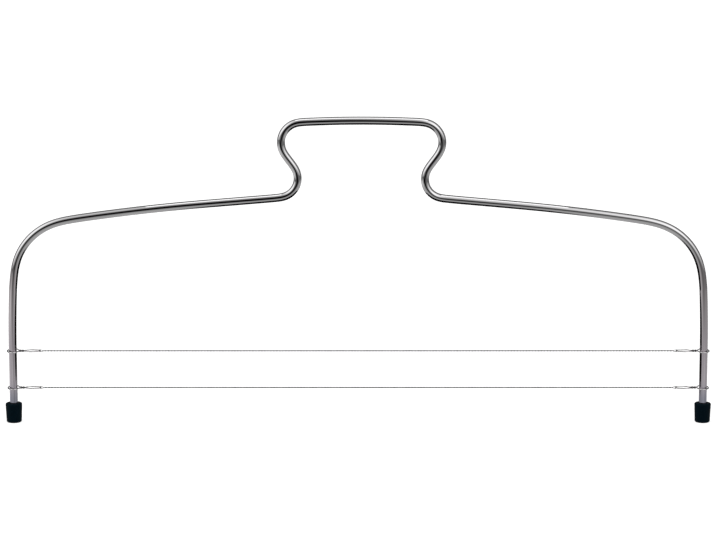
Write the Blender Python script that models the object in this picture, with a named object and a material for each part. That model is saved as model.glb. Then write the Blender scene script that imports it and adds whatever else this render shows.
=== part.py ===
"""Cake wire slicer: a bent steel rod frame with a grip, two rubber feet and two cutting wires.

Lengths are in metres and +Z is up. The origin is on the table, midway between the feet.
X runs along the cutting wires and Y is the direction in which the slicer is drawn through a cake.
"""

import math

import bmesh
import bpy
from mathutils import Matrix, Vector

# Frame rod: the corners of its centre line before they are rounded, from the legs to the grip
ROD_DIAMETER = 0.0040
LEG_SPACING = 0.3450
LEG_BOW_HEIGHT = 0.0520
LEG_BOW_INSET = 0.00025
LEG_BOW_RADIUS = 0.6300
SHOULDER_HEIGHT = 0.0981
SHOULDER_INSET = 0.0032
SHOULDER_RADIUS = 0.0321
OUTER_ARM_RUN = 0.0592
OUTER_ARM_RISE = 0.0093
ARM_BEND_RADIUS = 0.9200
INNER_ARM_RISE = 0.0074
NECK_CORNER_SPACING = 0.0456
NECK_RADIUS = 0.0098
GRIP_RISE = 0.0358
GRIP_CORNER_SPACING = 0.0986
GRIP_CORNER_RADIUS = 0.0103
GRIP_BOW = 0.0015
GRIP_BOW_RADIUS = 0.5900
# The hand-bent rod isn't quite even: its grip sits to the right, and its left arm a little high
GRIP_OFFSET = 0.0016
ARM_UNEVENNESS = 0.0003

# Rubber foot: a tapered cup pushed onto the end of each leg
FOOT_HEIGHT = 0.0098
FOOT_WALL_AT_TOP = 0.0019
FOOT_WALL_AT_BASE = 0.00155
FOOT_FLOOR = 0.0020
FOOT_TOP_ROUNDING = 0.0006
FOOT_BASE_ROUNDING = 0.0007
FOOT_MOUTH_ROUNDING = 0.0003
FOOT_BORE_CLEARANCE = 0.00025
ROD_END_CLEARANCE = 0.0003

# Heights of the cutting wires
LOWER_WIRE_ABOVE_FEET = 0.0078
WIRE_SPACING = 0.0188

# Hook: one loop of wire that makes the ring round a leg, a twisted neck and an eye
HOOK_WIRE_DIAMETER = 0.0006
RING_CLEARANCE = 0.0004
RING_HALF_DEPTH = 0.0034
RING_SLIDING_ROOM = 0.0016
RING_SHOULDER_RUN = 0.0017
NECK_RUN = 0.0024
NECK_STRAND_GAP = 0.00006
NECK_TURNS = 1
NECK_TWIST_OVERRUN = 0.0004
NECK_TWIST_EASE_SHARE = 0.5
EYE_FLARE_RUN = 0.0026
EYE_TAPER_RUN = 0.0053
EYE_WIDTH = 0.0038
EYE_TIP_WIDTH = 0.0022
RING_SHOULDER_BEND_RADIUS = 0.0018
HOOK_CROTCH_BEND_RADIUS = 0.0006
EYE_SIDE_BEND_RADIUS = 0.0040
# The wire's pull tips each loose hook, so that the front of its ring hangs a little lower
HOOK_TILT = math.radians(4)

# Cutting wire: one strand that runs through both eyes and back, a bight round each
STRAND_DIAMETER = 0.00033
STRAND_GAP = 0.00004
LINK_CLEARANCE = 0.0001
BIGHT_CLOSING_RUN = 0.0012
BIGHT_BEND_RADIUS = 0.0006

# How finely the round shapes are divided
ROD_SIDES = 16
HOOK_SIDES = 8
STRAND_SIDES = 6
FOOT_SIDES = 24
BEND_STEP = math.radians(9)
TIGHT_BEND_STEP = math.radians(20)
NECK_POINT_SPACING = 0.0003
STRAND_POINT_SPACING = 0.0200
SMOOTH_ANGLE = math.radians(40)
SAME_POINT_SHARE = 1e-6

# Where each piece's centre lies
ROD_RADIUS = ROD_DIAMETER / 2
GRIP_CORNER_HEIGHT = SHOULDER_HEIGHT + OUTER_ARM_RISE + INNER_ARM_RISE + GRIP_RISE
LOWER_WIRE_HEIGHT = FOOT_HEIGHT + LOWER_WIRE_ABOVE_FEET
UPPER_WIRE_HEIGHT = LOWER_WIRE_HEIGHT + WIRE_SPACING
LEFT = -1
RIGHT = 1


def clear_scene():
    for thing in list(bpy.data.objects):
        bpy.data.objects.remove(thing, do_unlink=True)


def make_material(name, colour, metallic, roughness):
    material = bpy.data.materials.new(name)
    material.use_nodes = True
    shader = material.node_tree.nodes["Principled BSDF"]
    shader.inputs["Base Color"].default_value = (*colour, 1.0)
    shader.inputs["Metallic"].default_value = metallic
    shader.inputs["Roughness"].default_value = roughness
    return material


def bend_tangents(corners, radii, closed):
    """How far each rounding reaches along its two sides, cut back where two would meet on a side."""
    count = len(corners)
    reach = [0.0] * count
    for index in range(count):
        if not closed and index in (0, count - 1):
            continue
        before = (corners[index - 1] - corners[index]).normalized()
        after = (corners[(index + 1) % count] - corners[index]).normalized()
        reach[index] = radii[index] / math.tan(before.angle(after) / 2)
    share = [1.0] * count
    for index in range(count if closed else count - 1):
        other = (index + 1) % count
        length = (corners[other] - corners[index]).length
        wanted = reach[index] + reach[other]
        if wanted > length:
            share[index] = min(share[index], length / wanted)
            share[other] = min(share[other], length / wanted)
    return [reach[index] * share[index] for index in range(count)]


def rounded_path(corners, radii, step, closed=False):
    """The points of a line through these corners, with each corner replaced by an arc."""
    count = len(corners)
    reach = bend_tangents(corners, radii, closed)
    points = []
    for index, corner in enumerate(corners):
        if not reach[index]:
            points.append(corner.copy())
            continue
        before = (corners[index - 1] - corner).normalized()
        after = (corners[(index + 1) % count] - corner).normalized()
        half_angle = before.angle(after) / 2
        radius = reach[index] * math.tan(half_angle)
        centre = corner + (before + after).normalized() * (radius / math.sin(half_angle))
        spoke = corner + before * reach[index] - centre
        turn = math.pi - 2 * half_angle
        steps = max(2, math.ceil(turn / step))
        for part in range(steps + 1):
            points.append(centre + Matrix.Rotation(turn * part / steps, 3, after.cross(before)) @ spoke)
    return without_repeats(points, closed)


def without_repeats(points, closed):
    """The same points without those that two arcs share where they meet."""
    nearest = SAME_POINT_SHARE * max(point.length for point in points)
    kept = [points[0]]
    for point in points[1:]:
        if (point - kept[-1]).length > nearest:
            kept.append(point)
    if closed and (kept[-1] - kept[0]).length <= nearest:
        kept.pop()
    return kept


def divided_loop(points, spacing, first_x=-math.inf, last_x=math.inf):
    """The same closed line with extra points between those that lie further apart than this."""
    divided = []
    for start, end in zip(points, points[1:] + points[:1]):
        within = first_x < (start.x + end.x) / 2 < last_x
        steps = math.ceil((end - start).length / spacing) if within else 1
        divided.extend(start.lerp(end, part / steps) for part in range(steps))
    return divided


def path_directions(points, closed):
    """The line's direction at each of its points."""
    last = len(points) - 1
    directions = []
    for index in range(len(points)):
        before = points[index - 1] if closed or index else points[index]
        after = points[(index + 1) % len(points)] if closed or index < last else points[index]
        directions.append((after - before).normalized())
    return directions


def tube_rings(points, radius, sides, closed=False):
    """The rings of a round tube along a line, turned as little as possible from one to the next."""
    directions = path_directions(points, closed)
    spoke = directions[0].orthogonal().normalized()
    spokes = []
    for direction in directions + directions[:1]:
        spoke = (spoke - direction * spoke.dot(direction)).normalized()
        spokes.append(spoke)
    error = 0.0
    if closed:
        error = math.atan2(spokes[0].cross(spokes[-1]).dot(directions[0]), spokes[0].dot(spokes[-1]))
    rings = []
    for index, (point, direction) in enumerate(zip(points, directions)):
        untwist = -error * index / len(points)
        ring = []
        for side in range(sides):
            angle = untwist + 2 * math.pi * side / sides
            ring.append(point + Matrix.Rotation(angle, 3, direction) @ spokes[index] * radius)
        rings.append(ring)
    return rings


def skin(name, rings, closed=False):
    """A closed mesh over rings with the same number of points, capped unless the last meets the first."""
    shape = bmesh.new()
    loops = [[shape.verts.new(point) for point in ring] for ring in rings]
    pairs = list(zip(loops, loops[1:] + loops[:1] if closed else loops[1:]))
    for lower, upper in pairs:
        for side in range(len(lower)):
            after = (side + 1) % len(lower)
            shape.faces.new((lower[side], lower[after], upper[after], upper[side]))
    if not closed:
        shape.faces.new(loops[0])
        shape.faces.new(loops[-1])
    bmesh.ops.recalc_face_normals(shape, faces=shape.faces)
    mesh = bpy.data.meshes.new(name)
    shape.to_mesh(mesh)
    shape.free()
    mesh.shade_smooth()
    mesh.set_sharp_from_angle(angle=SMOOTH_ANGLE)
    return mesh


def place(name, mesh, material, location, turn=0.0, tilt=0.0, parent=None):
    """One piece of the slicer, tilted about its own X and then turned about the vertical."""
    if not mesh.materials:
        mesh.materials.append(material)
    piece = bpy.data.objects.new(name, mesh)
    piece.location = location
    piece.rotation_euler = (tilt, 0, turn)
    piece.parent = parent
    bpy.context.scene.collection.objects.link(piece)
    return piece


def rod_half(side):
    """The rounded corners of one half of the rod, from inside its foot to the corner of the grip."""
    foot_x = LEG_SPACING / 2
    shoulder_x = foot_x - SHOULDER_INSET
    shoulder_z = SHOULDER_HEIGHT - side * ARM_UNEVENNESS
    arm_bend_z = shoulder_z + OUTER_ARM_RISE
    corners = [
        (side * foot_x, FOOT_FLOOR + ROD_END_CLEARANCE, 0),
        (side * (foot_x - LEG_BOW_INSET), LEG_BOW_HEIGHT, LEG_BOW_RADIUS),
        (side * shoulder_x, shoulder_z, SHOULDER_RADIUS),
        (side * (shoulder_x - OUTER_ARM_RUN), arm_bend_z, ARM_BEND_RADIUS),
        (side * NECK_CORNER_SPACING / 2 + GRIP_OFFSET, arm_bend_z + INNER_ARM_RISE, NECK_RADIUS),
        (side * GRIP_CORNER_SPACING / 2 + GRIP_OFFSET, GRIP_CORNER_HEIGHT, GRIP_CORNER_RADIUS),
    ]
    return [(Vector((x, 0, z)), radius) for x, z, radius in corners]


def rod_path():
    middle = (Vector((GRIP_OFFSET, 0, GRIP_CORNER_HEIGHT + GRIP_BOW)), GRIP_BOW_RADIUS)
    bends = rod_half(LEFT) + [middle] + rod_half(RIGHT)[::-1]
    return rounded_path([corner for corner, _ in bends], [radius for _, radius in bends], BEND_STEP)


def leg_x(side, height):
    """Where the centre of one leg stands at this height."""
    path = rod_path()
    if side == RIGHT:
        path.reverse()
    for lower, upper in zip(path, path[1:]):
        if upper.z > height:
            break
    share = (height - lower.z) / (upper.z - lower.z)
    return lower.lerp(upper, share).x


def make_frame_rod(material):
    mesh = skin("frame_rod", tube_rings(rod_path(), ROD_RADIUS, ROD_SIDES))
    place("frame_rod", mesh, material, (0, 0, 0))


def foot_mesh():
    """A cup turned about the vertical, from the middle of its base, up its side and down its bore."""
    bore_radius = ROD_RADIUS + FOOT_BORE_CLEARANCE
    outline = [
        (bore_radius, 0, 0),
        (bore_radius + FOOT_WALL_AT_BASE, 0, FOOT_BASE_ROUNDING),
        (bore_radius + FOOT_WALL_AT_TOP, FOOT_HEIGHT, FOOT_TOP_ROUNDING),
        (bore_radius, FOOT_HEIGHT, FOOT_MOUTH_ROUNDING),
        (bore_radius, FOOT_FLOOR, 0),
    ]
    corners = [Vector((radius, 0, height)) for radius, height, _ in outline]
    profile = rounded_path(corners, [rounding for _, _, rounding in outline], TIGHT_BEND_STEP)
    rings = []
    for point in profile:
        turns = [Matrix.Rotation(2 * math.pi * side / FOOT_SIDES, 3, "Z") for side in range(FOOT_SIDES)]
        rings.append([turn @ point for turn in turns])
    return skin("foot", rings)


def make_feet(material):
    mesh = foot_mesh()
    for side, name in ((LEFT, "left_foot"), (RIGHT, "right_foot")):
        place(name, mesh, material, (leg_x(side, FOOT_HEIGHT / 2), 0, 0))


def hook_reach():
    """From the centre of the leg to the centre of the wire at the eye's tip."""
    return RING_SLIDING_ROOM + RING_SHOULDER_RUN + NECK_RUN + EYE_FLARE_RUN + EYE_TAPER_RUN


def neck_twist(along, start, end):
    """How far the two strands are turned about each other at this distance from the leg."""
    share = min(1, max(0, (along - start) / (end - start)))
    eased_share = share - NECK_TWIST_EASE_SHARE * math.sin(2 * math.pi * share) / (2 * math.pi)
    return 2 * math.pi * NECK_TURNS * eased_share


def hook_path():
    """The hook's loop about the centre of its leg: laid out flat, and then twisted at the neck."""
    ring_x = ROD_RADIUS + RING_CLEARANCE + HOOK_WIRE_DIAMETER / 2
    neck_half = (HOOK_WIRE_DIAMETER + NECK_STRAND_GAP) / 2
    neck_x = RING_SLIDING_ROOM + RING_SHOULDER_RUN
    eye_x = neck_x + NECK_RUN
    outline = [
        (-ring_x, RING_HALF_DEPTH, RING_HALF_DEPTH),
        (RING_SLIDING_ROOM, RING_HALF_DEPTH, RING_SHOULDER_BEND_RADIUS),
        (neck_x, neck_half, HOOK_CROTCH_BEND_RADIUS),
        (eye_x, neck_half, HOOK_CROTCH_BEND_RADIUS),
        (eye_x + EYE_FLARE_RUN, EYE_WIDTH / 2, EYE_SIDE_BEND_RADIUS),
        (hook_reach(), EYE_TIP_WIDTH / 2, EYE_TIP_WIDTH / 2),
    ]
    bends = outline + [(x, -y, radius) for x, y, radius in outline[::-1]]
    corners = [Vector((x, y, 0)) for x, y, _ in bends]
    flat = rounded_path(corners, [radius for _, _, radius in bends], TIGHT_BEND_STEP, closed=True)
    start = neck_x - NECK_TWIST_OVERRUN
    end = eye_x + NECK_TWIST_OVERRUN
    flat = divided_loop(flat, NECK_POINT_SPACING, start, end)
    return [Matrix.Rotation(neck_twist(point.x, start, end), 3, "X") @ point for point in flat]


def hook_mesh():
    rings = tube_rings(hook_path(), HOOK_WIRE_DIAMETER / 2, HOOK_SIDES, closed=True)
    return skin("hook", rings, closed=True)


def bight_outline(tip_x, side):
    """The upper half of a bight round the wire at the tip of an eye, from its run to its end."""
    run_half = (STRAND_DIAMETER + STRAND_GAP) / 2
    bight_half = (HOOK_WIRE_DIAMETER + STRAND_DIAMETER) / 2 + LINK_CLEARANCE
    closed_x = tip_x - side * (bight_half + BIGHT_CLOSING_RUN)
    return [
        (closed_x, run_half, BIGHT_BEND_RADIUS),
        (tip_x, bight_half, BIGHT_BEND_RADIUS),
        (tip_x + side * bight_half, bight_half, bight_half),
    ]


def cutting_wire_mesh(name, height):
    """One strand that goes round the tips of both eyes, its two runs side by side."""
    left_tip = leg_x(LEFT, height) + hook_reach()
    right_tip = leg_x(RIGHT, height) - hook_reach()
    upper = bight_outline(left_tip, LEFT)[::-1] + bight_outline(right_tip, RIGHT)
    bends = upper + [(x, -z, radius) for x, z, radius in upper[::-1]]
    corners = [Vector((x, 0, z)) for x, z, _ in bends]
    path = rounded_path(corners, [radius for _, _, radius in bends], TIGHT_BEND_STEP, closed=True)
    path = divided_loop(path, STRAND_POINT_SPACING)
    return skin(name, tube_rings(path, STRAND_DIAMETER / 2, STRAND_SIDES, closed=True), closed=True)


def make_wire(level, height, strand_steel, hook, hook_steel):
    """A cutting wire with its two hooks, which slide up and down the legs together."""
    slide = bpy.data.objects.new(f"{level}_wire_slide", None)
    slide.location = (0, 0, height)
    bpy.context.scene.collection.objects.link(slide)
    name = f"{level}_cutting_wire"
    place(name, cutting_wire_mesh(name, height), strand_steel, (0, 0, 0), parent=slide)
    left_x = leg_x(LEFT, height)
    right_x = leg_x(RIGHT, height)
    place(f"{level}_left_hook", hook, hook_steel, (left_x, 0, 0), tilt=HOOK_TILT, parent=slide)
    place(f"{level}_right_hook", hook, hook_steel, (right_x, 0, 0), math.pi, -HOOK_TILT, slide)


def make_slicer():
    clear_scene()
    make_frame_rod(make_material("polished_rod_steel", (0.62, 0.60, 0.61), 1.0, 0.15))
    make_feet(make_material("black_rubber", (0.006, 0.014, 0.018), 0.0, 0.45))
    strand_steel = make_material("strand_steel", (0.60, 0.60, 0.61), 1.0, 0.25)
    hook_steel = make_material("hook_wire_steel", (0.50, 0.49, 0.50), 1.0, 0.25)
    hook = hook_mesh()
    make_wire("upper", UPPER_WIRE_HEIGHT, strand_steel, hook, hook_steel)
    make_wire("lower", LOWER_WIRE_HEIGHT, strand_steel, hook, hook_steel)


make_slicer()
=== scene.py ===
"""Looks of a cake wire slicer: a bent steel rod frame on rubber feet, with two twisted cutting wires.

Lengths are in metres and +Z is up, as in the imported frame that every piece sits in.
X runs along the cutting wires, and the slicer is seen from -Y.
"""

import math

import bpy
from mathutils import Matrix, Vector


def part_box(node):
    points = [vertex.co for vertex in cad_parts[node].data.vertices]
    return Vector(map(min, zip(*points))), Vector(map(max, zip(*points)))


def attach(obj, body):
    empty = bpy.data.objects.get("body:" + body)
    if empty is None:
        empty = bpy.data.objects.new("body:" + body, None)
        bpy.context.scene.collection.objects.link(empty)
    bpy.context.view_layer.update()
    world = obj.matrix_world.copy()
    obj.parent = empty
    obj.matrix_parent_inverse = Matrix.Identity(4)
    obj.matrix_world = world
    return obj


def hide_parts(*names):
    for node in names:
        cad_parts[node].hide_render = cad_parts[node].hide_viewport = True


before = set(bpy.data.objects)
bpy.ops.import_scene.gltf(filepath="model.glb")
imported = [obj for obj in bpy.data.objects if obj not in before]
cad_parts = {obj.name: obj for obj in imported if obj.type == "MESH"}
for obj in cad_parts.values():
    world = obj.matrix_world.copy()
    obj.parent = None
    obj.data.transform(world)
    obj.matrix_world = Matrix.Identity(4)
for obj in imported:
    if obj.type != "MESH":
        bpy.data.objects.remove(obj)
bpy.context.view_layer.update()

# Frame rod: one length of stainless steel rod, drawn to 4 mm and bent cold in one plane into two
# legs, two arms and a raised grip. Its arms and grip are polished bright. Its legs are left satin,
# with the fine lengthwise lines of the drawing die, and the hooks' rings slide on them.
ROD_DIAMETER = 0.0040
LEG_SPACING = 0.3450
ROD_END_HEIGHT = 0.0023
LEG_BOW_HEIGHT = 0.0520
LEG_BOW_INSET = 0.00025
LEG_BOW_RADIUS = 0.6300
SHOULDER_HEIGHT = 0.0982
SHOULDER_INSET = 0.0028
SHOULDER_RADIUS = 0.0306
OUTER_ARM_RUN = 0.0590
OUTER_ARM_RISE = 0.0092
ARM_BEND_RADIUS = 1.0000
INNER_ARM_RISE = 0.0075
NECK_CORNER_SPACING = 0.0443
NECK_RADIUS = 0.0097
GRIP_RISE = 0.0355
GRIP_CORNER_SPACING = 0.0998
GRIP_CORNER_RADIUS = 0.0101
GRIP_BOW = 0.0018
GRIP_BOW_RADIUS = 0.5900
GRIP_OFFSET = 0.0016
ARM_UNEVENNESS = 0.0003
GRIP_CORNER_HEIGHT = SHOULDER_HEIGHT + OUTER_ARM_RISE + INNER_ARM_RISE + GRIP_RISE

# How softly the rod runs into its bends: 0 is a plain arc, and 1 eases in and out over about 6 mm,
# which takes this many steps
WIDE_BEND_EASING = 1.0
TIGHT_BEND_EASING = 0.05
EASING_STEPS = 110

ROD_SIDES = 48
ROD_POINTS_PER_BEND = 32
ROD_POINT_SPACING = 0.001
SHARP_EDGE_ANGLE = math.radians(50)

# The heights where each change in the steel, and the painted shade above the feet, begins and is complete,
# from the shoulders down
WARM_HEIGHTS = (0.088, 0.072)
SATIN_HEIGHTS = (0.066, 0.036)
FOOT_SHADE_HEIGHTS = (0.022, 0.010)

LEFT = -1
RIGHT = 1


def add_node(tree, kind, settings, inputs):
    """One node with its settings. An input takes a value or the output of another node."""
    node = tree.nodes.new(kind)
    for setting, value in settings.items():
        setattr(node, setting, value)
    for socket, value in inputs.items():
        if isinstance(value, bpy.types.NodeSocket):
            tree.links.new(value, node.inputs[socket])
        else:
            node.inputs[socket].default_value = value
    return node


def make_wire_tree():
    """Turns a line of corners into round wire: bent, eased, twisted about X, skinned and placed."""
    tree = bpy.data.node_groups.new("bent_wire", "GeometryNodeTree")
    for name, kind in (
        ("Corners", "Geometry"), ("Wire Diameter", "Float"), ("Sides", "Int"), ("Points per Bend", "Int"),
        ("Easing Steps", "Int"), ("Point Spacing", "Float"), ("Twist Start", "Float"),
        ("Twist End", "Float"), ("Turns", "Float"), ("Twist Ease", "Float"), ("Place", "Vector"),
        ("Turned", "Vector"), ("Steel", "Material"),
    ):
        tree.interface.new_socket(name, in_out="INPUT", socket_type="NodeSocket" + kind)
    tree.interface.new_socket("Wire", in_out="OUTPUT", socket_type="NodeSocketGeometry")
    given = add_node(tree, "NodeGroupInput", {}, {}).outputs

    # The corners become a line, and each is rounded to the bend radius that it carries
    corners = add_node(tree, "GeometryNodeMeshToCurve", {}, {"Mesh": given["Corners"]})
    bend_radius = add_node(
        tree, "GeometryNodeInputNamedAttribute", {"data_type": "FLOAT"}, {"Name": "bend_radius"})
    rounded = add_node(tree, "GeometryNodeFilletCurve", {"mode": "POLY"}, {
        "Curve": corners.outputs["Curve"], "Count": given["Points per Bend"],
        "Radius": bend_radius.outputs["Attribute"], "Limit Radius": True})

    # Stretches longer than the point spacing are divided
    place = add_node(tree, "GeometryNodeInputPosition", {}, {}).outputs["Position"]
    following = add_node(tree, "GeometryNodeOffsetPointInCurve", {}, {"Offset": 1})
    next_place = add_node(tree, "GeometryNodeFieldAtIndex", {"data_type": "FLOAT_VECTOR"}, {
        "Index": following.outputs["Point Index"], "Value": place})
    stretch = add_node(tree, "ShaderNodeVectorMath", {"operation": "DISTANCE"}, {
        0: place, 1: next_place.outputs["Value"]})
    pieces = add_node(tree, "ShaderNodeMath", {"operation": "DIVIDE"}, {
        0: stretch.outputs["Value"], 1: given["Point Spacing"]})
    cuts = add_node(tree, "ShaderNodeMath", {"operation": "FLOOR"}, {0: pieces.outputs["Value"]})
    divided = add_node(tree, "GeometryNodeSubdivideCurve", {}, {
        "Curve": rounded.outputs["Curve"], "Cuts": cuts.outputs["Value"]})

    # Each point is drawn towards its neighbours step by step, as far as the easing near it allows
    easing = add_node(
        tree, "GeometryNodeInputNamedAttribute", {"data_type": "FLOAT"}, {"Name": "easing"})
    eased_place = add_node(tree, "GeometryNodeBlurAttribute", {"data_type": "FLOAT_VECTOR"}, {
        "Value": place, "Iterations": given["Easing Steps"], "Weight": easing.outputs["Attribute"]})
    eased_line = add_node(tree, "GeometryNodeSetPosition", {}, {
        "Geometry": divided.outputs["Curve"], "Position": eased_place.outputs["Value"]})

    # The line is wound about X between the start and the end of the twist, gently at both
    along = add_node(tree, "ShaderNodeSeparateXYZ", {}, {0: place})
    share = add_node(tree, "ShaderNodeMapRange", {}, {
        "Value": along.outputs["X"], "From Min": given["Twist Start"], "From Max": given["Twist End"]})
    full_turn = add_node(tree, "ShaderNodeMath", {"operation": "MULTIPLY"}, {
        0: share.outputs["Result"], 1: 2 * math.pi})
    wave = add_node(tree, "ShaderNodeMath", {"operation": "SINE"}, {0: full_turn.outputs["Value"]})
    held_back = add_node(tree, "ShaderNodeMath", {"operation": "MULTIPLY"}, {
        0: wave.outputs["Value"], 1: given["Twist Ease"]})
    gentle_turn = add_node(tree, "ShaderNodeMath", {"operation": "SUBTRACT"}, {
        0: full_turn.outputs["Value"], 1: held_back.outputs["Value"]})
    angle = add_node(tree, "ShaderNodeMath", {"operation": "MULTIPLY"}, {
        0: gentle_turn.outputs["Value"], 1: given["Turns"]})
    wound_place = add_node(tree, "ShaderNodeVectorRotate", {"rotation_type": "X_AXIS"}, {
        "Vector": place, "Angle": angle.outputs["Value"]})
    wound = add_node(tree, "GeometryNodeSetPosition", {}, {
        "Geometry": eased_line.outputs["Geometry"], "Position": wound_place.outputs["Vector"]})

    # A round section is drawn along it, and keeps where each point would lie on the straight wire
    radius = add_node(tree, "ShaderNodeMath", {"operation": "DIVIDE"}, {0: given["Wire Diameter"], 1: 2.0})
    section = add_node(tree, "GeometryNodeCurvePrimitiveCircle", {"mode": "RADIUS"}, {
        "Resolution": given["Sides"], "Radius": radius.outputs["Value"]})
    distance = add_node(tree, "GeometryNodeSplineParameter", {}, {})
    kept_distance = add_node(
        tree, "GeometryNodeCaptureAttribute", {}, {"Geometry": wound.outputs["Geometry"]})
    kept_distance.capture_items.new("FLOAT", "Distance")
    tree.links.new(distance.outputs["Length"], kept_distance.inputs["Distance"])
    kept_section = add_node(
        tree, "GeometryNodeCaptureAttribute", {}, {"Geometry": section.outputs["Curve"]})
    kept_section.capture_items.new("VECTOR", "Across")
    tree.links.new(place, kept_section.inputs["Across"])
    skinned = add_node(tree, "GeometryNodeCurveToMesh", {}, {
        "Curve": kept_distance.outputs["Geometry"], "Profile Curve": kept_section.outputs["Geometry"],
        "Fill Caps": True})
    across = add_node(tree, "ShaderNodeSeparateXYZ", {}, {0: kept_section.outputs["Across"]})
    unbent = add_node(tree, "ShaderNodeCombineXYZ", {}, {
        "X": kept_distance.outputs["Distance"], "Y": across.outputs["X"], "Z": across.outputs["Y"]})
    kept = add_node(tree, "GeometryNodeStoreNamedAttribute", {"data_type": "FLOAT_VECTOR"}, {
        "Geometry": skinned.outputs["Mesh"], "Name": "unbent_place", "Value": unbent.outputs["Vector"]})

    placed = add_node(tree, "GeometryNodeTransform", {}, {
        "Geometry": kept.outputs["Geometry"], "Translation": given["Place"], "Rotation": given["Turned"]})
    realized = add_node(tree, "GeometryNodeRealizeInstances", {}, {"Geometry": placed.outputs["Geometry"]})
    finished = add_node(tree, "GeometryNodeSetMaterial", {}, {
        "Geometry": realized.outputs["Geometry"], "Material": given["Steel"]})
    add_node(tree, "NodeGroupOutput", {}, {"Wire": finished.outputs["Geometry"]})
    return tree


wire_tree = make_wire_tree()


def bent_wire(name, corners, closed, sizes):
    """A finished piece of round wire along these corners.

    Each corner is an x, a y, a z and a bend radius, and then its easing where it has any.
    """
    line = bpy.data.meshes.new(name + "_corners")
    count = len(corners)
    edges = [(index, (index + 1) % count) for index in range(count if closed else count - 1)]
    line.from_pydata([corner[:3] for corner in corners], edges, [])
    radii = line.attributes.new("bend_radius", "FLOAT", "POINT")
    radii.data.foreach_set("value", [corner[3] for corner in corners])
    easings = line.attributes.new("easing", "FLOAT", "POINT")
    easings.data.foreach_set("value", [corner[4] if len(corner) > 4 else 0.0 for corner in corners])
    drawn = bpy.data.objects.new(name + "_corners", line)
    bpy.context.scene.collection.objects.link(drawn)
    modifier = drawn.modifiers.new("bent_wire", "NODES")
    modifier.node_group = wire_tree
    for socket in wire_tree.interface.items_tree:
        if socket.name in sizes:
            modifier[socket.identifier] = sizes[socket.name]
    depsgraph = bpy.context.evaluated_depsgraph_get()
    mesh = bpy.data.meshes.new_from_object(
        drawn.evaluated_get(depsgraph), preserve_all_data_layers=True, depsgraph=depsgraph)
    bpy.data.objects.remove(drawn)
    mesh.name = name
    mesh.shade_smooth()
    mesh.set_sharp_from_angle(angle=SHARP_EDGE_ANGLE)
    piece = bpy.data.objects.new(name, mesh)
    bpy.context.scene.collection.objects.link(piece)
    return piece


def linear(colour):
    """An sRGB hex colour as the linear red, green, blue and alpha that a shader takes."""
    levels = [int(colour[place:place + 2], 16) / 255 for place in (1, 3, 5)]
    return (*[v / 12.92 if v <= 0.04045 else ((v + 0.055) / 1.055) ** 2.4 for v in levels], 1.0)


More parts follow.
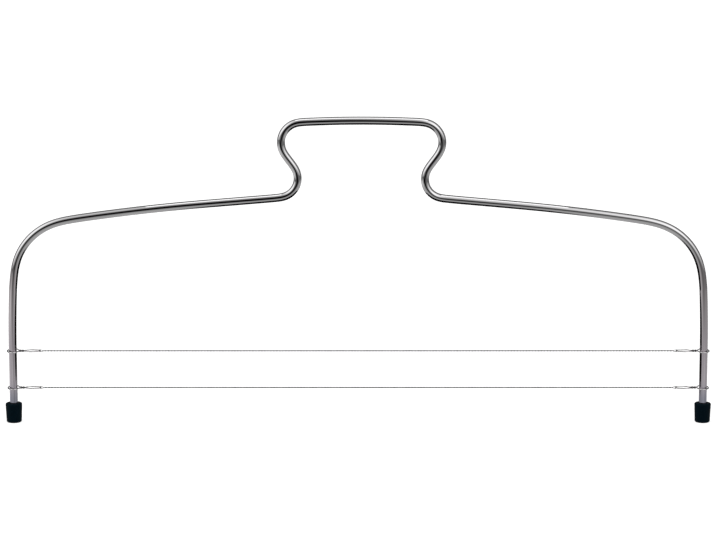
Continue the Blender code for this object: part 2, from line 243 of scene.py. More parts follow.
def stainless_rod_steel():
    """Stainless steel rod, drawn and polished: bright on the arms and grip, satin and lined on the legs.

    From the shoulders down it is a little warmer, and just above the feet it is darker and bluer, which is
    painted shade.
    """
    material = bpy.data.materials.new("polished_stainless_rod")
    material.use_nodes = True
    tree = material.node_tree
    shader = tree.nodes["Principled BSDF"]
    shader.inputs["Metallic"].default_value = 1.0
    unbent = add_node(tree, "ShaderNodeAttribute", {"attribute_name": "unbent_place"}, {})
    place = add_node(tree, "ShaderNodeTexCoord", {}, {})
    height = add_node(tree, "ShaderNodeSeparateXYZ", {}, {0: place.outputs["Object"]})
    satin = add_node(tree, "ShaderNodeMapRange", {"interpolation_type": "SMOOTHSTEP"}, {
        "Value": height.outputs["Z"], "From Min": SATIN_HEIGHTS[0], "From Max": SATIN_HEIGHTS[1]})

    # Drawing lines are a few hundredths of a millimetre apart. Here they are 0.4 mm apart and 17 mm
    # long, with streaks 0.8 mm wide and 80 mm long, so that they show
    stretched = add_node(tree, "ShaderNodeMapping", {}, {
        "Vector": unbent.outputs["Vector"], "Scale": (60.0, 2500.0, 2500.0)})
    lines = add_node(tree, "ShaderNodeTexNoise", {}, {
        "Vector": stretched.outputs["Vector"], "Scale": 1.0, "Detail": 3.0})
    long_streaks = add_node(tree, "ShaderNodeMapping", {}, {
        "Vector": unbent.outputs["Vector"], "Scale": (12.0, 1300.0, 1300.0)})
    streaks = add_node(tree, "ShaderNodeTexNoise", {}, {
        "Vector": long_streaks.outputs["Vector"], "Scale": 1.0, "Detail": 1.0})
    streaked = add_node(tree, "ShaderNodeMapRange", {}, {
        "Value": streaks.outputs["Fac"], "From Min": 0.35, "From Max": 0.65})
    drawn_colour = add_node(tree, "ShaderNodeMix", {"data_type": "RGBA"}, {
        "Factor": streaked.outputs["Result"], "A": linear("#aaa4a9"), "B": linear("#d6cfd5")})

    # The polished steel of the arms and grip, the satin of the legs, and painted shade that darkens and
    # blues the legs just above the feet
    warmth = add_node(tree, "ShaderNodeMapRange", {"interpolation_type": "SMOOTHSTEP"}, {
        "Value": height.outputs["Z"], "From Min": WARM_HEIGHTS[0], "From Max": WARM_HEIGHTS[1]})
    polished_colour = add_node(tree, "ShaderNodeMix", {"data_type": "RGBA"}, {
        "Factor": warmth.outputs["Result"], "A": linear("#cfcecf"), "B": linear("#d6cfd1")})
    colour = add_node(tree, "ShaderNodeMix", {"data_type": "RGBA"}, {
        "Factor": satin.outputs["Result"], "A": polished_colour.outputs["Result"],
        "B": drawn_colour.outputs["Result"]})
    # Painted shade: the colour is darkened and turned bluer just above the feet
    painted_foot_shade = add_node(tree, "ShaderNodeMapRange", {"interpolation_type": "SMOOTHSTEP"}, {
        "Value": height.outputs["Z"], "From Min": FOOT_SHADE_HEIGHTS[0], "From Max": FOOT_SHADE_HEIGHTS[1]})
    foot_shaded_colour = add_node(tree, "ShaderNodeMix", {"data_type": "RGBA", "blend_type": "MULTIPLY"}, {
        "Factor": painted_foot_shade.outputs["Result"], "A": colour.outputs["Result"], "B": linear("#cdd5df")})
    tree.links.new(foot_shaded_colour.outputs["Result"], shader.inputs["Base Color"])

    # Patches 6 mm wide are a touch rougher, and the drawing lines are shallow grooves
    patches = add_node(tree, "ShaderNodeTexNoise", {}, {
        "Vector": unbent.outputs["Vector"], "Scale": 180.0, "Detail": 2.0})
    base_roughness = add_node(tree, "ShaderNodeMapRange", {}, {
        "Value": satin.outputs["Result"], "To Min": 0.015, "To Max": 0.10})
    roughness = add_node(tree, "ShaderNodeMath", {"operation": "MULTIPLY_ADD"}, {
        0: patches.outputs["Fac"], 1: 0.015, 2: base_roughness.outputs["Result"]})
    tree.links.new(roughness.outputs["Value"], shader.inputs["Roughness"])
    depth = add_node(tree, "ShaderNodeMapRange", {}, {
        "Value": satin.outputs["Result"], "To Min": 0.008, "To Max": 0.30})
    grooves = add_node(tree, "ShaderNodeBump", {}, {
        "Strength": depth.outputs["Result"], "Distance": 0.00004, "Height": lines.outputs["Fac"]})
    tree.links.new(grooves.outputs["Normal"], shader.inputs["Normal"])
    return material


def rod_corners(side):
    """The corners of one half of the rod, from inside its foot to the corner of the grip."""
    foot_x = LEG_SPACING / 2
    shoulder_x = foot_x - SHOULDER_INSET
    shoulder_z = SHOULDER_HEIGHT - side * ARM_UNEVENNESS
    arm_bend_z = shoulder_z + OUTER_ARM_RISE
    neck_x = side * NECK_CORNER_SPACING / 2 + GRIP_OFFSET
    neck_z = arm_bend_z + INNER_ARM_RISE + side * ARM_UNEVENNESS / 2
    grip_x = side * GRIP_CORNER_SPACING / 2 + GRIP_OFFSET
    return [
        (side * foot_x, 0, ROD_END_HEIGHT, 0),
        (side * (foot_x - LEG_BOW_INSET), 0, LEG_BOW_HEIGHT, LEG_BOW_RADIUS),
        (side * shoulder_x, 0, shoulder_z, SHOULDER_RADIUS, WIDE_BEND_EASING),
        (side * (shoulder_x - OUTER_ARM_RUN), 0, arm_bend_z, ARM_BEND_RADIUS, WIDE_BEND_EASING),
        (neck_x, 0, neck_z, NECK_RADIUS, TIGHT_BEND_EASING),
        (grip_x, 0, GRIP_CORNER_HEIGHT, GRIP_CORNER_RADIUS, TIGHT_BEND_EASING),
    ]


grip_middle = (GRIP_OFFSET, 0, GRIP_CORNER_HEIGHT + GRIP_BOW, GRIP_BOW_RADIUS, TIGHT_BEND_EASING)
rod_line = rod_corners(LEFT) + [grip_middle] + rod_corners(RIGHT)[::-1]
rod = bent_wire("bent_frame_rod", rod_line, False, {
    "Wire Diameter": ROD_DIAMETER, "Sides": ROD_SIDES, "Points per Bend": ROD_POINTS_PER_BEND,
    "Easing Steps": EASING_STEPS, "Point Spacing": ROD_POINT_SPACING, "Steel": stainless_rod_steel()})
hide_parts("frame_rod")
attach(rod, "frame")


# Rubber feet: black rubber cups, moulded in one piece and pushed onto the ends of the legs, where
# they grip by their own stretch. They taper a little from their mouths to their bases.
FOOT_HEIGHT = 0.0098
FOOT_TOP_DIAMETER = 0.0083
FOOT_BASE_DIAMETER = 0.0076
FOOT_TOP_ROUNDING = 0.0007
FOOT_BASE_ROUNDING = 0.0008
BORE_MOUTH_ROUNDING = 0.0002
BORE_CLEARANCE = 0.00002
FOOT_SIDES = 64
FOOT_ROUNDING_STEPS = 6


def moulded_rubber():
    """Black rubber from a steel mould: satin, with a fine grain and a faint cloudiness."""
    material = bpy.data.materials.new("black_moulded_rubber")
    material.use_nodes = True
    tree = material.node_tree
    shader = tree.nodes["Principled BSDF"]
    shader.inputs["IOR"].default_value = 1.5
    shader.inputs["Specular IOR Level"].default_value = 0.04
    place = add_node(tree, "ShaderNodeTexCoord", {}, {})

    # The clouds are 2.5 mm wide. The mould's grain is about 0.1 mm, drawn here 0.3 mm so that it shows
    clouds = add_node(tree, "ShaderNodeTexNoise", {}, {
        "Vector": place.outputs["Object"], "Scale": 400.0, "Detail": 2.0})
    colour = add_node(tree, "ShaderNodeMix", {"data_type": "RGBA"}, {
        "Factor": clouds.outputs["Fac"], "A": linear("#000c13"), "B": linear("#01151f")})
    tree.links.new(colour.outputs["Result"], shader.inputs["Base Color"])
    roughness = add_node(tree, "ShaderNodeMapRange", {}, {
        "Value": clouds.outputs["Fac"], "To Min": 0.42, "To Max": 0.60})
    tree.links.new(roughness.outputs["Result"], shader.inputs["Roughness"])
    grain = add_node(tree, "ShaderNodeTexNoise", {}, {
        "Vector": place.outputs["Object"], "Scale": 3000.0, "Detail": 3.0})
    bump = add_node(tree, "ShaderNodeBump", {}, {
        "Strength": 0.25, "Distance": 0.00005, "Height": grain.outputs["Fac"]})
    tree.links.new(bump.outputs["Normal"], shader.inputs["Normal"])
    return material


def rounded_corner(radius, height, rounding, first_angle):
    """Points of a quarter round in the foot's outline, about a centre inside this corner."""
    points = []
    for step in range(FOOT_ROUNDING_STEPS + 1):
        angle = first_angle + math.pi / 2 * step / FOOT_ROUNDING_STEPS
        points.append((radius + rounding * math.cos(angle), height + rounding * math.sin(angle)))
    return points


def foot_outline():
    """The cup's outline, out along its base, up its side, over its mouth and down into its bore."""
    bore_radius = ROD_DIAMETER / 2 + BORE_CLEARANCE
    base_radius = FOOT_BASE_DIAMETER / 2 - FOOT_BASE_ROUNDING
    top_radius = FOOT_TOP_DIAMETER / 2 - FOOT_TOP_ROUNDING
    outline = [(base_radius / 2, 0)]
    outline += rounded_corner(base_radius, FOOT_BASE_ROUNDING, FOOT_BASE_ROUNDING, -math.pi / 2)
    outline += rounded_corner(top_radius, FOOT_HEIGHT - FOOT_TOP_ROUNDING, FOOT_TOP_ROUNDING, 0)
    outline += rounded_corner(
        bore_radius + BORE_MOUTH_ROUNDING, FOOT_HEIGHT - BORE_MOUTH_ROUNDING, BORE_MOUTH_ROUNDING,
        math.pi / 2)
    outline += [(bore_radius, ROD_END_HEIGHT)]
    return outline


def foot_piece(name, centre, material):
    """The outline turned about the upright through this centre, and closed at its base and its bore."""
    outline = foot_outline()
    vertices = [(centre.x, centre.y, 0)]
    for radius, height in outline:
        for side in range(FOOT_SIDES):
            angle = 2 * math.pi * side / FOOT_SIDES
            vertices.append(
                (centre.x + radius * math.cos(angle), centre.y + radius * math.sin(angle), height))
    vertices.append((centre.x, centre.y, ROD_END_HEIGHT))
    faces = []
    for side in range(FOOT_SIDES):
        after = (side + 1) % FOOT_SIDES
        faces.append((0, 1 + after, 1 + side))
        for ring in range(len(outline) - 1):
            low = 1 + ring * FOOT_SIDES
            high = low + FOOT_SIDES
            faces.append((low + side, low + after, high + after, high + side))
        faces.append((high + side, high + after, len(vertices) - 1))
    mesh = bpy.data.meshes.new(name)
    mesh.from_pydata(vertices, [], faces)
    mesh.materials.append(material)
    mesh.shade_smooth()
    mesh.set_sharp_from_angle(angle=SHARP_EDGE_ANGLE)
    piece = bpy.data.objects.new(name, mesh)
    bpy.context.scene.collection.objects.link(piece)
    return piece


rubber = moulded_rubber()
for foot_node in ("left_foot", "right_foot"):
    foot_low, foot_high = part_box(foot_node)
    foot = foot_piece(foot_node + "_cup", (foot_low + foot_high) / 2, rubber)
    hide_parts(foot_node)
    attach(foot, "frame")


# Hooks: each is one loop of 0.6 mm stainless wire. It makes a flat ring round the leg, is
# twisted one turn into a short neck, and opens again into a narrow eye that holds the cutting wire.
HOOK_WIRE_DIAMETER = 0.0006
RING_CLEARANCE = 0.0004
RING_HALF_DEPTH = 0.0034
RING_SLIDING_ROOM = 0.0016
RING_SHOULDER_RUN = 0.0017
NECK_RUN = 0.0024
NECK_STRAND_GAP = 0.00006
NECK_TURNS = 1.0
NECK_TWIST_OVERRUN = 0.0004
NECK_TWIST_EASE = 0.5
EYE_FLARE_RUN = 0.0026
EYE_TAPER_RUN = 0.0053
EYE_WIDTH = 0.0038
EYE_TIP_WIDTH = 0.0022
RING_SHOULDER_BEND_RADIUS = 0.0018
HOOK_CROTCH_BEND_RADIUS = 0.0006
EYE_SIDE_BEND_RADIUS = 0.0040
HOOK_TILT = math.radians(4)
NECK_START = RING_SLIDING_ROOM + RING_SHOULDER_RUN
NECK_END = NECK_START + NECK_RUN
HOOK_REACH = NECK_END + EYE_FLARE_RUN + EYE_TAPER_RUN
HOOK_SIDES = 20
HOOK_POINTS_PER_BEND = 12
HOOK_POINT_SPACING = 0.00015

# The leg's distance from the slicer's middle at the hooks, and where their painted shade and painted dark
# reflection fade in from there
LEG_AT_HOOKS = 0.1720
TWIST_SHADE_FADE = 0.0007
TIP_REFLECTION_START = 0.0012
TIP_REFLECTION_FULL = 0.0022


def wire_steel(name, colour, roughness, twist=None):
    """Stainless spring wire, drawn bright: smooth along its length, with faint drawing lines.

    A hook's wire is given painted shade where it is twisted, from one distance off the slicer's middle
    to another, and a darker painted reflection at the outer tip of its ring.
    """
    material = bpy.data.materials.new(name)
    material.use_nodes = True
    tree = material.node_tree
    shader = tree.nodes["Principled BSDF"]
    shader.inputs["Metallic"].default_value = 1.0
    unbent = add_node(tree, "ShaderNodeAttribute", {"attribute_name": "unbent_place"}, {})

    # The drawing lines are coarser than real ones here too: 0.1 mm apart and 2.5 mm long
    stretched = add_node(tree, "ShaderNodeMapping", {}, {
        "Vector": unbent.outputs["Vector"], "Scale": (400.0, 9000.0, 9000.0)})
    lines = add_node(tree, "ShaderNodeTexNoise", {}, {
        "Vector": stretched.outputs["Vector"], "Scale": 1.0, "Detail": 2.0})
    tint = add_node(tree, "ShaderNodeMix", {"data_type": "RGBA"}, {
        "Factor": lines.outputs["Fac"], "A": linear(colour[0]), "B": linear(colour[1])})
    if twist:
        place = add_node(tree, "ShaderNodeTexCoord", {}, {})
        axes = add_node(tree, "ShaderNodeSeparateXYZ", {}, {0: place.outputs["Object"]})
        off_middle = add_node(tree, "ShaderNodeMath", {"operation": "ABSOLUTE"}, {0: axes.outputs["X"]})
        from_twist = add_node(tree, "ShaderNodeMath", {"operation": "SUBTRACT"}, {
            0: off_middle.outputs["Value"], 1: (twist[0] + twist[1]) / 2})
        apart = add_node(tree, "ShaderNodeMath", {"operation": "ABSOLUTE"}, {0: from_twist.outputs["Value"]})
        half = (twist[1] - twist[0]) / 2
        # Painted shade: the wire is darkened where it is twisted into the neck
        painted_twist_shade = add_node(tree, "ShaderNodeMapRange", {"interpolation_type": "SMOOTHSTEP"}, {
            "Value": apart.outputs["Value"], "From Min": half + TWIST_SHADE_FADE,
            "From Max": half - TWIST_SHADE_FADE})
        twist_shaded_tint = add_node(tree, "ShaderNodeMix", {"data_type": "RGBA"}, {
            "Factor": painted_twist_shade.outputs["Result"], "A": tint.outputs["Result"], "B": linear("#666465")})
        # Painted dark reflection: the ring's outer tip is coloured near-black
        painted_tip_reflection = add_node(tree, "ShaderNodeMapRange", {"interpolation_type": "SMOOTHSTEP"}, {
            "Value": off_middle.outputs["Value"], "From Min": LEG_AT_HOOKS + TIP_REFLECTION_START,
            "From Max": LEG_AT_HOOKS + TIP_REFLECTION_FULL})
        tint = add_node(tree, "ShaderNodeMix", {"data_type": "RGBA"}, {
            "Factor": painted_tip_reflection.outputs["Result"], "A": twist_shaded_tint.outputs["Result"],
            "B": linear("#2c2a2c")})
    tree.links.new(tint.outputs["Result"], shader.inputs["Base Color"])
    polish = add_node(tree, "ShaderNodeMapRange", {}, {
        "Value": lines.outputs["Fac"], "To Min": roughness[0], "To Max": roughness[1]})
    tree.links.new(polish.outputs["Result"], shader.inputs["Roughness"])
    return material


def hook_corners():
    """The hook's loop laid out flat about the centre of its leg, with the eye towards +X."""
    ring_x = (ROD_DIAMETER + HOOK_WIRE_DIAMETER) / 2 + RING_CLEARANCE
    neck_half = (HOOK_WIRE_DIAMETER + NECK_STRAND_GAP) / 2
    half = [
        (-ring_x, RING_HALF_DEPTH, RING_HALF_DEPTH),
        (RING_SLIDING_ROOM, RING_HALF_DEPTH, RING_SHOULDER_BEND_RADIUS),
        (NECK_START, neck_half, HOOK_CROTCH_BEND_RADIUS),
        (NECK_END, neck_half, HOOK_CROTCH_BEND_RADIUS),
        (NECK_END + EYE_FLARE_RUN, EYE_WIDTH / 2, EYE_SIDE_BEND_RADIUS),
        (HOOK_REACH, EYE_TIP_WIDTH / 2, EYE_TIP_WIDTH / 2),
    ]
    other_half = [(x, -y, radius) for x, y, radius in half[::-1]]
    return [(x, y, 0, radius) for x, y, radius in half + other_half]


def leg_centre(node):
    """The centre of the leg that a hook's ring goes round, from the hook's own box."""
    low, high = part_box(node)
    ring_back = ROD_DIAMETER / 2 + RING_CLEARANCE + HOOK_WIRE_DIAMETER
    x = low.x + ring_back if low.x < 0 else high.x - ring_back
    return (x, (low.y + high.y) / 2, (low.z + high.z) / 2)


hook_steel = wire_steel(
    "hook_spring_wire", ("#c6c4c5", "#dad8d9"), (0.03, 0.08),
    twist=(LEG_AT_HOOKS - NECK_END - NECK_TWIST_OVERRUN, LEG_AT_HOOKS - NECK_START + NECK_TWIST_OVERRUN))
for level in ("upper", "lower"):
    for side_name, turned in (("left", (HOOK_TILT, 0.0, 0.0)), ("right", (-HOOK_TILT, 0.0, math.pi))):
        node = f"{level}_{side_name}_hook"
        hook = bent_wire(node + "_loop", hook_corners(), True, {
            "Wire Diameter": HOOK_WIRE_DIAMETER, "Sides": HOOK_SIDES,
            "Points per Bend": HOOK_POINTS_PER_BEND, "Point Spacing": HOOK_POINT_SPACING,
            "Twist Start": NECK_START - NECK_TWIST_OVERRUN, "Twist End": NECK_END + NECK_TWIST_OVERRUN,
            "Turns": NECK_TURNS, "Twist Ease": NECK_TWIST_EASE, "Place": leg_centre(node),
            "Turned": turned, "Steel": hook_steel})
        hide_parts(node)
        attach(hook, level + "_wire")


# Cutting wires: one 0.33 mm stainless strand goes through both eyes and back, and its two runs are
# twisted together between them, so that the taut wire saws through the cake a little.
STRAND_DIAMETER = 0.00033
STRAND_GAP = 0.00002
LINK_CLEARANCE = 0.00005
BIGHT_CLOSING_RUN = 0.0012
BIGHT_BEND_RADIUS = 0.0006
TWIST_PITCH = 0.0030
STRAND_SIDES = 8
STRAND_POINTS_PER_BEND = 8
STRAND_POINT_SPACING = 0.00022


def strand_corners(half_span):
    """The strand's loop laid out flat and upright, a bight round the wire at each eye's tip."""
    run_half = (STRAND_DIAMETER + STRAND_GAP) / 2
    bight_half = (HOOK_WIRE_DIAMETER + STRAND_DIAMETER) / 2 + LINK_CLEARANCE
    end = [
        (half_span - bight_half - BIGHT_CLOSING_RUN, run_half, BIGHT_BEND_RADIUS),
        (half_span, bight_half, BIGHT_BEND_RADIUS),
        (half_span + bight_half, bight_half, bight_half),
    ]
    upper_run = [(-x, z, radius) for x, z, radius in end[::-1]] + end
    lower_run = [(x, -z, radius) for x, z, radius in upper_run[::-1]]
    return [(x, 0, z, radius) for x, z, radius in upper_run + lower_run]


# The cutting strand's dark grey is partly its steel and partly painted shade of the grooves in its twist
strand_steel = wire_steel("cutting_strand_wire", ("#626264", "#7e7e7f"), (0.18, 0.30))
for level in ("upper", "lower"):
    left_leg = leg_centre(level + "_left_hook")
    right_leg = leg_centre(level + "_right_hook")
    half_span = (right_leg[0] - left_leg[0]) / 2 - HOOK_REACH
    twist_end = half_span - BIGHT_CLOSING_RUN
    wire = bent_wire(level + "_twisted_wire", strand_corners(half_span), True, {
        "Wire Diameter": STRAND_DIAMETER, "Sides": STRAND_SIDES,
        "Points per Bend": STRAND_POINTS_PER_BEND, "Point Spacing": STRAND_POINT_SPACING,
        "Twist Start": -twist_end, "Twist End": twist_end,
        "Turns": float(round(2 * twist_end / TWIST_PITCH)), "Twist Ease": 0.0,
        "Place": ((left_leg[0] + right_leg[0]) / 2, 0.0, left_leg[2]), "Turned": (0.0, 0.0, 0.0),
        "Steel": strand_steel})
    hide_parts(level + "_cutting_wire")
    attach(wire, level + "_wire")


# Camera: a long lens in front of the slicer and a little above it, level from side to side. It is
# aimed at the slicer's middle.
CAMERA_DISTANCE = 1.2
CAMERA_ELEVATION = math.radians(10.5)
CAMERA_AIM_HEIGHT = 0.07737
CAMERA_SIDE = -0.00012
CAMERA_LENS_MM = 121.7
CAMERA_SENSOR_MM = 36.0
camera_data = bpy.data.cameras.new("camera")
camera_data.lens = CAMERA_LENS_MM
camera_data.sensor_width = CAMERA_SENSOR_MM
camera = bpy.data.objects.new("camera", camera_data)
camera.location = (
    CAMERA_SIDE, -CAMERA_DISTANCE * math.cos(CAMERA_ELEVATION),
    CAMERA_AIM_HEIGHT + CAMERA_DISTANCE * math.sin(CAMERA_ELEVATION))
camera.rotation_euler = (math.pi / 2 - CAMERA_ELEVATION, 0, 0)
bpy.context.scene.collection.objects.link(camera)
bpy.context.scene.camera = camera


# Floor: a plain white studio floor. The camera sees it white, with the slicer's own faint shadow.
# Polished metal sees the paper as it is lit: bright beside the slicer, dim towards the camera, and
# dark right under the middle, where a painted dark patch is seen only in the metal.
FLOOR_HALF = 12.0
WHITE_SEEN = 0.72

# The paper brightens between these two places in front of the slicer, and towards its left both lie
# up to this much further forward
DIM_FRONT = -0.50
BRIGHT_FRONT = -0.02
LEFT_REACH = 0.32
LEFT_REACH_START = -0.28
LEFT_REACH_FULL = -0.68

# The paper is less bright behind the slicer
BEHIND_START = 0.04
BEHIND_FULL = 0.16
BEHIND_LEVEL = 0.72

# The painted dark patch's middle, half its width where it is quite dark and where it ends, and the same of
# its front, which bends back towards both sides, and of its back
DARK_PATCH_MIDDLE = 0.012
DARK_PATCH_DARKEST_HALF = 0.080
DARK_PATCH_HALF = 0.112
DARK_PATCH_FRONT = -0.105
DARK_PATCH_DARKEST_FRONT = -0.060
DARK_PATCH_FRONT_BEND = 6.0
DARK_PATCH_DARKEST_BACK = 0.40
DARK_PATCH_BACK = 0.60


def graded(tree, value, lowest, highest, levels):
    """Levels of light at places along a value that runs from the lowest to the highest."""
    along = add_node(tree, "ShaderNodeMapRange", {}, {
        "Value": value, "From Min": lowest, "From Max": highest})
    ramp = add_node(tree, "ShaderNodeValToRGB", {}, {"Fac": along.outputs["Result"]})
    elements = ramp.color_ramp.elements
    elements.remove(elements[1])
    for index, (at, grey) in enumerate(levels):
        share = (at - lowest) / (highest - lowest)
        element = elements[0] if index == 0 else elements.new(share)
        element.position = share
        element.color = (grey, grey, grey, 1.0)
    return ramp.outputs["Color"]


def studio_floor():
    """White paper that the camera sees evenly white, and that polished metal sees graded."""
    material = bpy.data.materials.new("white_studio_floor")
    material.use_nodes = True
    tree = material.node_tree
    tree.nodes.remove(tree.nodes["Principled BSDF"])
    place = add_node(tree, "ShaderNodeTexCoord", {}, {})
    axes = add_node(tree, "ShaderNodeSeparateXYZ", {}, {0: place.outputs["Object"]})

    # From the slicer's level to the dimmer one in front of it, each graded from left to right
    reach = add_node(tree, "ShaderNodeMapRange", {"interpolation_type": "SMOOTHSTEP"}, {
        "Value": axes.outputs["X"], "From Min": LEFT_REACH_START, "From Max": LEFT_REACH_FULL,
        "To Max": LEFT_REACH})
    reached = add_node(tree, "ShaderNodeMath", {"operation": "ADD"}, {
        0: reach.outputs["Result"], 1: axes.outputs["Y"]})
    front_level = graded(tree, axes.outputs["X"], -1.0, 1.0, (
        (-0.80, 0.14), (-0.50, 0.06), (-0.28, 0.0), (0.10, 0.0), (0.40, 0.19)))
    slicer_level = graded(tree, axes.outputs["X"], -1.0, 1.0, (
        (-0.85, 0.36), (-0.70, 0.45), (-0.55, 0.60), (-0.42, 0.80), (-0.28, 0.84), (-0.20, 0.68),
        (-0.14, 0.53), (0.0, 0.59), (0.14, 0.52), (0.22, 0.58), (0.32, 0.53), (0.45, 0.43),
        (0.60, 0.29), (0.80, 0.20)))
    paper_glow = add_node(tree, "ShaderNodeMapRange", {"interpolation_type": "SMOOTHSTEP"}, {
        "Value": reached.outputs["Value"], "From Min": DIM_FRONT, "From Max": BRIGHT_FRONT,
        "To Min": front_level, "To Max": slicer_level})
    behind = add_node(tree, "ShaderNodeMapRange", {"interpolation_type": "SMOOTHSTEP"}, {
        "Value": axes.outputs["Y"], "From Min": BEHIND_START, "From Max": BEHIND_FULL,
        "To Min": 1.0, "To Max": BEHIND_LEVEL})
    dimmed_glow = add_node(tree, "ShaderNodeMath", {"operation": "MULTIPLY"}, {
        0: paper_glow.outputs["Result"], 1: behind.outputs["Result"]})

    # The painted dark patch under the middle, which only metal sees
    from_painted_dark_patch = add_node(tree, "ShaderNodeMath", {"operation": "SUBTRACT"}, {
        0: axes.outputs["X"], 1: DARK_PATCH_MIDDLE})
    aside = add_node(tree, "ShaderNodeMath", {"operation": "ABSOLUTE"}, {0: from_painted_dark_patch.outputs["Value"]})
    painted_dark_patch_across = add_node(tree, "ShaderNodeMapRange", {"interpolation_type": "SMOOTHSTEP"}, {
        "Value": aside.outputs["Value"], "From Min": DARK_PATCH_HALF, "From Max": DARK_PATCH_DARKEST_HALF})
    aside_squared = add_node(tree, "ShaderNodeMath", {"operation": "POWER"}, {
        0: aside.outputs["Value"], 1: 2.0})
    bent_depth = add_node(tree, "ShaderNodeMath", {"operation": "MULTIPLY_ADD"}, {
        0: aside_squared.outputs["Value"], 1: -DARK_PATCH_FRONT_BEND, 2: axes.outputs["Y"]})
    painted_dark_patch_front = add_node(tree, "ShaderNodeMapRange", {"interpolation_type": "SMOOTHSTEP"}, {
        "Value": bent_depth.outputs["Value"], "From Min": DARK_PATCH_FRONT, "From Max": DARK_PATCH_DARKEST_FRONT})
    painted_dark_patch_back = add_node(tree, "ShaderNodeMapRange", {"interpolation_type": "SMOOTHSTEP"}, {
        "Value": axes.outputs["Y"], "From Min": DARK_PATCH_BACK, "From Max": DARK_PATCH_DARKEST_BACK})
    painted_dark_patch_along = add_node(tree, "ShaderNodeMath", {"operation": "MULTIPLY"}, {
        0: painted_dark_patch_front.outputs["Result"], 1: painted_dark_patch_back.outputs["Result"]})
    painted_dark_patch = add_node(tree, "ShaderNodeMath", {"operation": "MULTIPLY"}, {
        0: painted_dark_patch_across.outputs["Result"], 1: painted_dark_patch_along.outputs["Value"]})
    glow = add_node(tree, "ShaderNodeMix", {"data_type": "FLOAT"}, {
        "Factor": painted_dark_patch.outputs["Value"], "A": dimmed_glow.outputs["Value"], "B": 0.0})

    # What the camera sees is white paper with its shadow, and what metal sees is the graded glow
    ray = add_node(tree, "ShaderNodeLightPath", {}, {})
    plainly_seen = add_node(tree, "ShaderNodeMath", {"operation": "MAXIMUM"}, {
        0: ray.outputs["Is Camera Ray"], 1: ray.outputs["Is Transmission Ray"]})
    seen_white = add_node(tree, "ShaderNodeMath", {"operation": "MULTIPLY"}, {
        0: plainly_seen.outputs["Value"], 1: WHITE_SEEN})
    seen_in_metal = add_node(tree, "ShaderNodeMath", {"operation": "MULTIPLY"}, {
        0: ray.outputs["Is Glossy Ray"], 1: glow.outputs["Result"]})
    strength = add_node(tree, "ShaderNodeMath", {"operation": "ADD"}, {
        0: seen_white.outputs["Value"], 1: seen_in_metal.outputs["Value"]})
    paper = add_node(tree, "ShaderNodeBsdfDiffuse", {}, {"Color": linear("#d8d8d8")})
    lit = add_node(tree, "ShaderNodeEmission", {}, {"Strength": strength.outputs["Value"]})
    seen = add_node(tree, "ShaderNodeAddShader", {}, {0: paper.outputs[0], 1: lit.outputs[0]})
    surface = add_node(tree, "ShaderNodeMixShader", {}, {
        0: ray.outputs["Is Glossy Ray"], 1: seen.outputs[0], 2: lit.outputs[0]})
    tree.links.new(surface.outputs[0], tree.nodes["Material Output"].inputs["Surface"])
    return material


floor_mesh = bpy.data.meshes.new("floor")
floor_mesh.from_pydata(
    [(-FLOOR_HALF, -FLOOR_HALF, 0), (FLOOR_HALF, -FLOOR_HALF, 0), (FLOOR_HALF, FLOOR_HALF, 0),
     (-FLOOR_HALF, FLOOR_HALF, 0)], [], [(0, 1, 2, 3)])
floor_mesh.materials.append(studio_floor())
floor = bpy.data.objects.new("floor", floor_mesh)
bpy.context.scene.collection.objects.link(floor)


# Light: one wide softbox overhead, in a white room whose camera side is dark. The dark side is what
# draws the long dark lines on the polished rod. The room is brightest in its two front corners.
SOFTBOX_HEIGHT = 0.95
SOFTBOX_WIDTH = 0.58
SOFTBOX_FRONT = -0.22
SOFTBOX_BACK = 0.14
SOFTBOX_RADIANCE = 1.0
WATTS_PER_RADIANCE = 4

# The dark side's edges to the left, to the right and upwards. Each pair is 0 and 1 on the way out of
# the dark, and the last pair is where on that way the walls begin and stop growing lighter
DARK_LEFT = (-0.13, -0.63)
DARK_RIGHT = (-0.11, 0.17)
DARK_CLIMB = (0.0, math.radians(54))
WALLS_LIGHTEN = (0.35, 1.6)

# The room's bands of light lie lower at its right than at its left, by this share of their height,
# and both its sides glow a little low down
ROOM_LEAN = 0.20
SIDE_GLOW = 0.17
SIDE_GLOW_START = 0.45
SIDE_GLOW_FULL = 0.85
LOW_GLOW_TOP = math.radians(30)
LOW_GLOW_FULL = math.radians(12)

softbox_data = bpy.data.lights.new("softbox", "AREA")
softbox_data.shape = "RECTANGLE"
softbox_data.size = SOFTBOX_WIDTH
softbox_data.size_y = SOFTBOX_BACK - SOFTBOX_FRONT
softbox_area = SOFTBOX_WIDTH * (SOFTBOX_BACK - SOFTBOX_FRONT)
softbox_data.energy = WATTS_PER_RADIANCE * SOFTBOX_RADIANCE * softbox_area
softbox = bpy.data.objects.new("softbox", softbox_data)
softbox.location = (0, (SOFTBOX_FRONT + SOFTBOX_BACK) / 2, SOFTBOX_HEIGHT)
softbox.visible_camera = False
bpy.context.scene.collection.objects.link(softbox)

world = bpy.data.worlds.new("studio_room")
world.use_nodes = True
bpy.context.scene.world = world
room = world.node_tree
towards = add_node(room, "ShaderNodeTexCoord", {}, {})
bearing = add_node(room, "ShaderNodeSeparateXYZ", {}, {0: towards.outputs["Generated"]})
forwards = add_node(room, "ShaderNodeMath", {"operation": "MULTIPLY"}, {0: bearing.outputs["Y"], 1: -1.0})

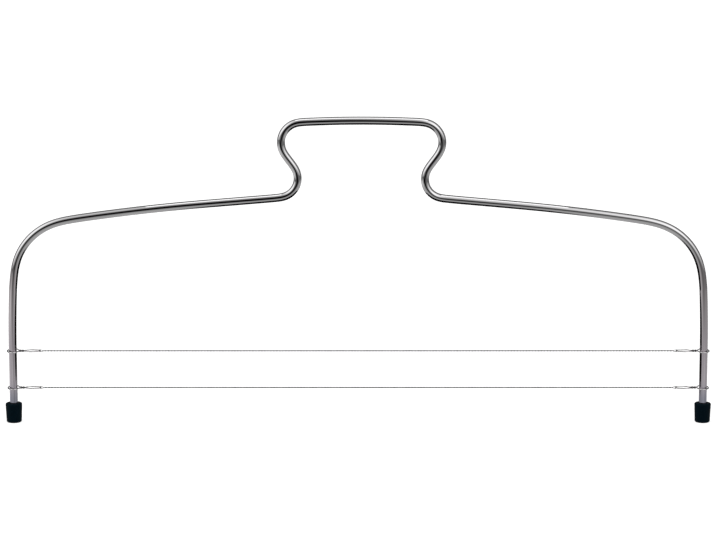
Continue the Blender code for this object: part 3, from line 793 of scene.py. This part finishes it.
# The turn from the camera's side up and over to the back, in radians, and how far out of the dark
climb = add_node(room, "ShaderNodeMath", {"operation": "ARCTAN2"}, {
    0: bearing.outputs["Z"], 1: forwards.outputs["Value"]})
out_left = add_node(room, "ShaderNodeMapRange", {"clamp": False}, {
    "Value": bearing.outputs["X"], "From Min": DARK_LEFT[0], "From Max": DARK_LEFT[1]})
out_right = add_node(room, "ShaderNodeMapRange", {"clamp": False}, {
    "Value": bearing.outputs["X"], "From Min": DARK_RIGHT[0], "From Max": DARK_RIGHT[1]})
out_sideways = add_node(room, "ShaderNodeMath", {"operation": "MAXIMUM"}, {
    0: out_left.outputs["Result"], 1: out_right.outputs["Result"]})
out_upwards = add_node(room, "ShaderNodeMapRange", {"clamp": False}, {
    "Value": climb.outputs["Value"], "From Min": DARK_CLIMB[0], "From Max": DARK_CLIMB[1]})
out = add_node(room, "ShaderNodeCombineXYZ", {}, {
    "X": out_sideways.outputs["Value"], "Y": out_upwards.outputs["Result"]})
out_of_dark = add_node(room, "ShaderNodeVectorMath", {"operation": "LENGTH"}, {0: out.outputs["Vector"]})
walls = add_node(room, "ShaderNodeMapRange", {"interpolation_type": "SMOOTHSTEP"}, {
    "Value": out_of_dark.outputs["Value"], "From Min": WALLS_LIGHTEN[0],
    "From Max": WALLS_LIGHTEN[1]})

# The room's levels over the turn, dark behind the softbox and paler again down at the back wall, and
# from its left to its right
lean = add_node(room, "ShaderNodeMath", {"operation": "MULTIPLY_ADD"}, {
    0: bearing.outputs["X"], 1: ROOM_LEAN, 2: 1.0})
leaning_climb = add_node(room, "ShaderNodeMath", {"operation": "MULTIPLY"}, {
    0: climb.outputs["Value"], 1: lean.outputs["Value"]})
over = graded(room, leaning_climb.outputs["Value"], 0.0, math.pi, [
    (math.radians(turn), level) for turn, level in (
        (0, 0.28), (10, 0.36), (20, 0.84), (28, 1.10), (45, 1.08), (62, 1.0), (80, 0.80), (95, 0.46),
        (108, 0.28), (120, 0.13), (148, 0.05), (168, 0.32))])
across = graded(room, bearing.outputs["X"], -1.0, 1.0, (
    (-1.0, 1.15), (-0.85, 1.42), (-0.60, 1.48), (-0.30, 1.08), (-0.17, 1.0), (0.0, 1.0), (0.17, 1.12),
    (0.30, 1.34), (0.60, 1.56), (0.85, 0.85), (1.0, 0.40)))
walls_across = add_node(room, "ShaderNodeMath", {"operation": "MULTIPLY"}, {
    0: walls.outputs["Result"], 1: across})
lit_walls = add_node(room, "ShaderNodeMath", {"operation": "MULTIPLY"}, {
    0: walls_across.outputs["Value"], 1: over})

# Both sides glow a little low down, where the dark side would otherwise reach round to them
sideways = add_node(room, "ShaderNodeMath", {"operation": "ABSOLUTE"}, {0: bearing.outputs["X"]})
side_glow = add_node(room, "ShaderNodeMapRange", {"interpolation_type": "SMOOTHSTEP"}, {
    "Value": sideways.outputs["Value"], "From Min": SIDE_GLOW_START, "From Max": SIDE_GLOW_FULL,
    "To Max": SIDE_GLOW})
low_down = add_node(room, "ShaderNodeMapRange", {"interpolation_type": "SMOOTHSTEP"}, {
    "Value": climb.outputs["Value"], "From Min": LOW_GLOW_TOP, "From Max": LOW_GLOW_FULL})
room_level = add_node(room, "ShaderNodeMath", {"operation": "MULTIPLY_ADD"}, {
    0: side_glow.outputs["Result"], 1: low_down.outputs["Result"], 2: lit_walls.outputs["Value"]})

# The camera sees plain white beyond the floor
sight = add_node(room, "ShaderNodeLightPath", {}, {})
plain_sight = add_node(room, "ShaderNodeMath", {"operation": "MAXIMUM"}, {
    0: sight.outputs["Is Camera Ray"], 1: sight.outputs["Is Transmission Ray"]})
level_seen = add_node(room, "ShaderNodeMix", {"data_type": "FLOAT"}, {
    "Factor": plain_sight.outputs["Value"], "A": room_level.outputs["Value"], "B": 1.0})
room.links.new(level_seen.outputs["Result"], room.nodes["Background"].inputs["Strength"])
room.nodes["Background"].inputs["Color"].default_value = linear("#ffffff")

bpy.context.scene.view_settings.view_transform = "Standard"
